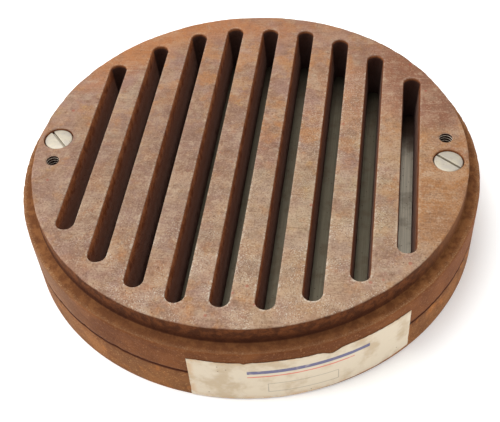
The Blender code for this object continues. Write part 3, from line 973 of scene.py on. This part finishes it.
class VALVE_OT_channels(bpy.types.Operator):
    """Build the nine channels that close the ports"""
    bl_idname = "valve.channels"
    bl_label = "Channels"

    def execute(self, context):
        settings = context.scene.channel_valve.channels
        dull, bright_reflection = settings.steel, settings.bright_reflection_steel
        for number in NUMBERS:
            low, high = CHANNEL_BOXES[number]
            half, wall, bend = (high.x - low.x) / 2, settings.wall, settings.bend
            inner_bend = bend - wall + 0.25 * MM
            inner = half - wall
            foot = low.z - high.z
            right = [
                *arc((half - bend, -bend), bend, 90, 0), (half, foot), (inner, foot),
                *arc((inner - inner_bend, -wall - inner_bend), inner_bend, 0, 90, 3)]
            bm = bmesh.new()
            prism(bm, mirrored(right), low.y, high.y)
            bmesh.ops.translate(bm, verts=bm.verts[:], vec=(port_x(number), 0, high.z))
            # The ninth strip takes the lighter steel, a painted reflection, and strong painted shadow
            # and dark reflection at its far end; the others only a faint one
            base, rust = (bright_reflection, 0.9) if number == NUMBERS[-1] else (dull, 0.15)
            steel = strip_steel(f"channel_steel_{number}", base, 60 + 3 * number, high.y / MM, rust)
            add_piece(f"channel_strip_{number}", bm, steel, "channel_steel", f"channel_{number}",
                      f"channel_{number}")
        return {"FINISHED"}


class VALVE_OT_springs(bpy.types.Operator):
    """Build the nine bowed leaf springs"""
    bl_idname = "valve.springs"
    bl_label = "Springs"

    def execute(self, context):
        settings = context.scene.channel_valve.springs
        material = plain_steel("spring_steel", settings.steel, 31, 0.25)
        for number in NUMBERS:
            low, high = SPRING_BOXES[number]
            height = high.z - low.z
            rise = height - settings.thickness
            bm = bmesh.new()
            bmesh.ops.create_grid(bm, x_segments=4, y_segments=64, size=1)
            for vert in bm.verts:
                vert.co.z = low.z + settings.thickness + rise * vert.co.y**2 - 0.02 * MM
                vert.co.x = port_x(number) + vert.co.x * (high.x - low.x) / 2
                vert.co.y *= high.y
            bmesh.ops.solidify(bm, geom=bm.faces[:], thickness=settings.thickness * 0.96)
            face_outwards(bm)
            spring = add_piece(f"leaf_spring_{number}", bm, material, "spring_steel",
                               f"spring_{number}")
            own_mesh(spring)
        return {"FINISHED"}


class VALVE_OT_guides(bpy.types.Operator):
    """Build the guides and dowels from their solids, with softened edges"""
    bl_idname = "valve.guides"
    bl_label = "Guides and dowels"

    def execute(self, context):
        settings = context.scene.channel_valve.guides
        plate = plain_steel("guide_plate_steel", settings.steel, 35, 0.35)
        pin = plain_steel("dowel_pin_steel", settings.steel, 38, 0.22)
        for node, material, slot in (
                ("guide_front", plate, "guide_steel"), ("guide_rear", plate, "guide_steel"),
                ("dowel_left", pin, "dowel_steel"), ("dowel_right", pin, "dowel_steel")):
            bm = bmesh.new()
            bm.from_mesh(frame["nodes"][node].data)
            bmesh.ops.remove_doubles(bm, verts=bm.verts[:], dist=0.01 * MM)
            bmesh.ops.dissolve_limit(
                bm, angle_limit=math.radians(1), verts=bm.verts[:], edges=bm.edges[:])
            sharp = [edge for edge in bm.edges if edge.calc_face_angle(0) > math.radians(30)]
            bmesh.ops.bevel(
                bm, geom=sharp, offset=settings.softening, segments=2, affect="EDGES",
                profile=0.5, material=-1, clamp_overlap=True)
            add_piece(f"{node}_softened", bm, material, slot, node)
        return {"FINISHED"}


class VALVE_OT_screws(bpy.types.Operator):
    """Build the two slotted screws"""
    bl_idname = "valve.screws"
    bl_label = "Screws"

    def execute(self, context):
        fasteners = context.scene.channel_valve.fasteners
        material = zinc_plate(fasteners)
        slots = {"left": (-1, fasteners.left_slot), "right": (1, fasteners.right_slot)}
        for side, (sign, slot_angle) in slots.items():
            low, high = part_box(f"screw_{side}")
            head, top, rounding = (high.x - low.x) / 2, high.z, fasteners.head_rounding
            under_head = SEAT_TOP - fasteners.counterbore_depth + GAP
            shank = fasteners.thread_radius - GAP
            thread_top, thread_end = STOP_TOP - 0.2 * MM, 1.6 * MM
            core, tip = shank - 0.25 * MM, shank - 0.8 * MM
            crown = lip = 0.12 * MM
            profile = [(0.4 * MM, top), (head * 0.5, top - crown * 0.3)]
            profile += arc((head - rounding, top - crown - rounding), rounding, 84, 0)
            profile += [(head, under_head), (shank, under_head), (shank, STOP_TOP)]
            profile += thread_profile(
                core, fasteners.thread_radius, fasteners.thread_pitch, thread_top, thread_end)
            profile.append((tip, low.z))
            bm = bmesh.new()
            revolve(bm, profile, 64)
            half, floor = fasteners.slot_width / 2, top - fasteners.slot_depth
            right = [(half, floor), (half, top - lip - crown), (half + lip + MM, top + MM)]
            cutter = bmesh.new()
            prism(cutter, mirrored(right), -2 * head, 2 * head)
            turn = Matrix.Rotation(slot_angle - math.pi / 2, 3, "Z")
            bmesh.ops.rotate(cutter, verts=cutter.verts[:], cent=(0, 0, 0), matrix=turn)
            bm = carve(bm, [cutter])
            place = fastener_place(fasteners, sign)
            bmesh.ops.translate(bm, verts=bm.verts[:], vec=(*place, 0))
            add_piece(f"slotted_screw_{side}", bm, material, "screw_zinc", f"screw_{side}")
        return {"FINISHED"}


class VALVE_OT_label(bpy.types.Operator):
    """Build the torn paper label round the rim"""
    bl_idname = "valve.label"
    bl_label = "Label"

    def execute(self, context):
        label = context.scene.channel_valve.label
        low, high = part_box("parts_label")
        span = label.end - label.start
        bm = bmesh.new()
        bmesh.ops.create_grid(bm, x_segments=220, y_segments=30, size=0.5)
        for vert in bm.verts:
            along, up = vert.co.x + 0.5, vert.co.y + 0.5
            # The torn top edge has a deep notch and a small nip, and the bottom rises to the right
            tear = noise.noise((along * 9, 0, 3)) * 0.5 + noise.noise((along * 60, 0, 7)) * 0.22
            notch = math.exp(-((along - 0.61) / 0.035)**2) * 2.2
            nip = math.exp(-((along - 0.24) / 0.012)**2) * 0.7
            top = high.z - (0.6 - tear + notch + nip) * MM
            bottom = low.z + max(0, along - 0.45) * 3.0 * MM
            height = bottom + (top - bottom) * up
            turn = label.start + span * along + noise.noise((0, up * 7, 11)) * 0.004 * (along - 0.5)
            groove = math.exp(-((height - (STOP_TOP + SEAT_BOTTOM) / 2) / (0.9 * MM))**2)
            lift = 0.14 * max(0, noise.noise((along * 14, up * 3, 1))) + 0.05
            radius = RIM_RADIUS + (0.08 + lift - 0.06 * groove) * MM
            vert.co = (radius * math.cos(turn), radius * math.sin(turn), height)
        face_outwards(bm)
        bmesh.ops.solidify(bm, geom=bm.faces[:], thickness=label.thickness)
        face_outwards(bm)
        add_piece("paper_label", bm, label_paper(label), "label_paper", "parts_label")
        return {"FINISHED"}


class VALVE_OT_stage(bpy.types.Operator):
    """Set up the floor, the studio light and the camera"""
    bl_idname = "valve.stage"
    bl_label = "Stage"

    def execute(self, context):
        scene = context.scene
        stage = scene.channel_valve.stage
        bm = bmesh.new()
        bmesh.ops.create_grid(bm, x_segments=1, y_segments=1, size=4)
        floor = add_object("floor", to_mesh("floor", bm))
        paint = Finish("floor_paint")
        paint.shader.inputs["Emission Color"].default_value = (1, 1, 1, 1)
        paint.shader.inputs["Emission Strength"].default_value = stage.floor_glow
        floor.data.materials.append(paint.done(stage.floor, 0.9, specular=0.1))

        world = bpy.data.worlds.new("studio")
        world.use_nodes = True
        sky = world.node_tree.nodes["Background"].inputs
        sky["Color"].default_value = (1, 1, 1, 1)
        sky["Strength"].default_value = stage.sky
        scene.world = world
        for name, place, share, size in (
                ("softbox_above", (-0.42, 0.08, 1.15), 1, 1.0),
                ("softbox_left", (-1.15, -0.1, 0.4), 0.45, 0.6),
                ("softbox_right", (1.1, -0.35, 0.4), 0.3, 0.6)):
            light = bpy.data.lights.new(name, "AREA")
            light.energy = stage.softbox * share
            light.size = size
            softbox = add_object(name, light)
            softbox.location = place
            softbox.rotation_mode = "QUATERNION"
            softbox.rotation_quaternion = Vector(place).to_track_quat("Z", "Y")

        camera = add_object("camera", bpy.data.cameras.new("camera"))
        camera.data.sensor_width = 36
        camera.data.lens = stage.lens
        turn = Matrix.Rotation(stage.azimuth, 4, "Z")
        turn @= Matrix.Rotation(math.pi / 2 - stage.elevation, 4, "X")
        turn @= Matrix.Rotation(stage.roll, 4, "Z")
        offset = Matrix.Translation((stage.aim_right, -stage.aim_down, stage.distance))
        camera.matrix_world = Matrix.Translation((0, 0, SEAT_TOP)) @ turn @ offset
        scene.camera = camera
        scene.view_settings.view_transform = "Standard"
        return {"FINISHED"}


class VALVE_PT_panel(bpy.types.Panel):
    """Lists the steps that build the valve"""
    bl_idname = "VALVE_PT_panel"
    bl_label = "Channel Valve"
    bl_space_type = "VIEW_3D"
    bl_region_type = "UI"
    bl_category = "Valve"

    def draw(self, context):
        for operator in OPERATORS:
            self.layout.operator(operator.bl_idname)


OPERATORS = (VALVE_OT_stage, VALVE_OT_seat, VALVE_OT_stop_plate, VALVE_OT_channels,
             VALVE_OT_springs, VALVE_OT_guides, VALVE_OT_screws, VALVE_OT_label)
CLASSES = (SeatSettings, StopPlateSettings, ChannelSettings, SpringSettings, GuideSettings,
           FastenerSettings, LabelSettings, StageSettings, ValveSettings, *OPERATORS,
           VALVE_PT_panel)


def register():
    for cls in CLASSES:
        bpy.utils.register_class(cls)
    bpy.types.Scene.channel_valve = PointerProperty(type=ValveSettings)


def unregister():
    del bpy.types.Scene.channel_valve
    for cls in reversed(CLASSES):
        bpy.utils.unregister_class(cls)


def main():
    register()
    bpy.ops.valve.stage()
    bpy.ops.valve.seat()
    bpy.ops.valve.stop_plate()
    bpy.ops.valve.channels()
    bpy.ops.valve.springs()
    bpy.ops.valve.guides()
    bpy.ops.valve.screws()
    bpy.ops.valve.label()


if __name__ == "__main__":
    main()
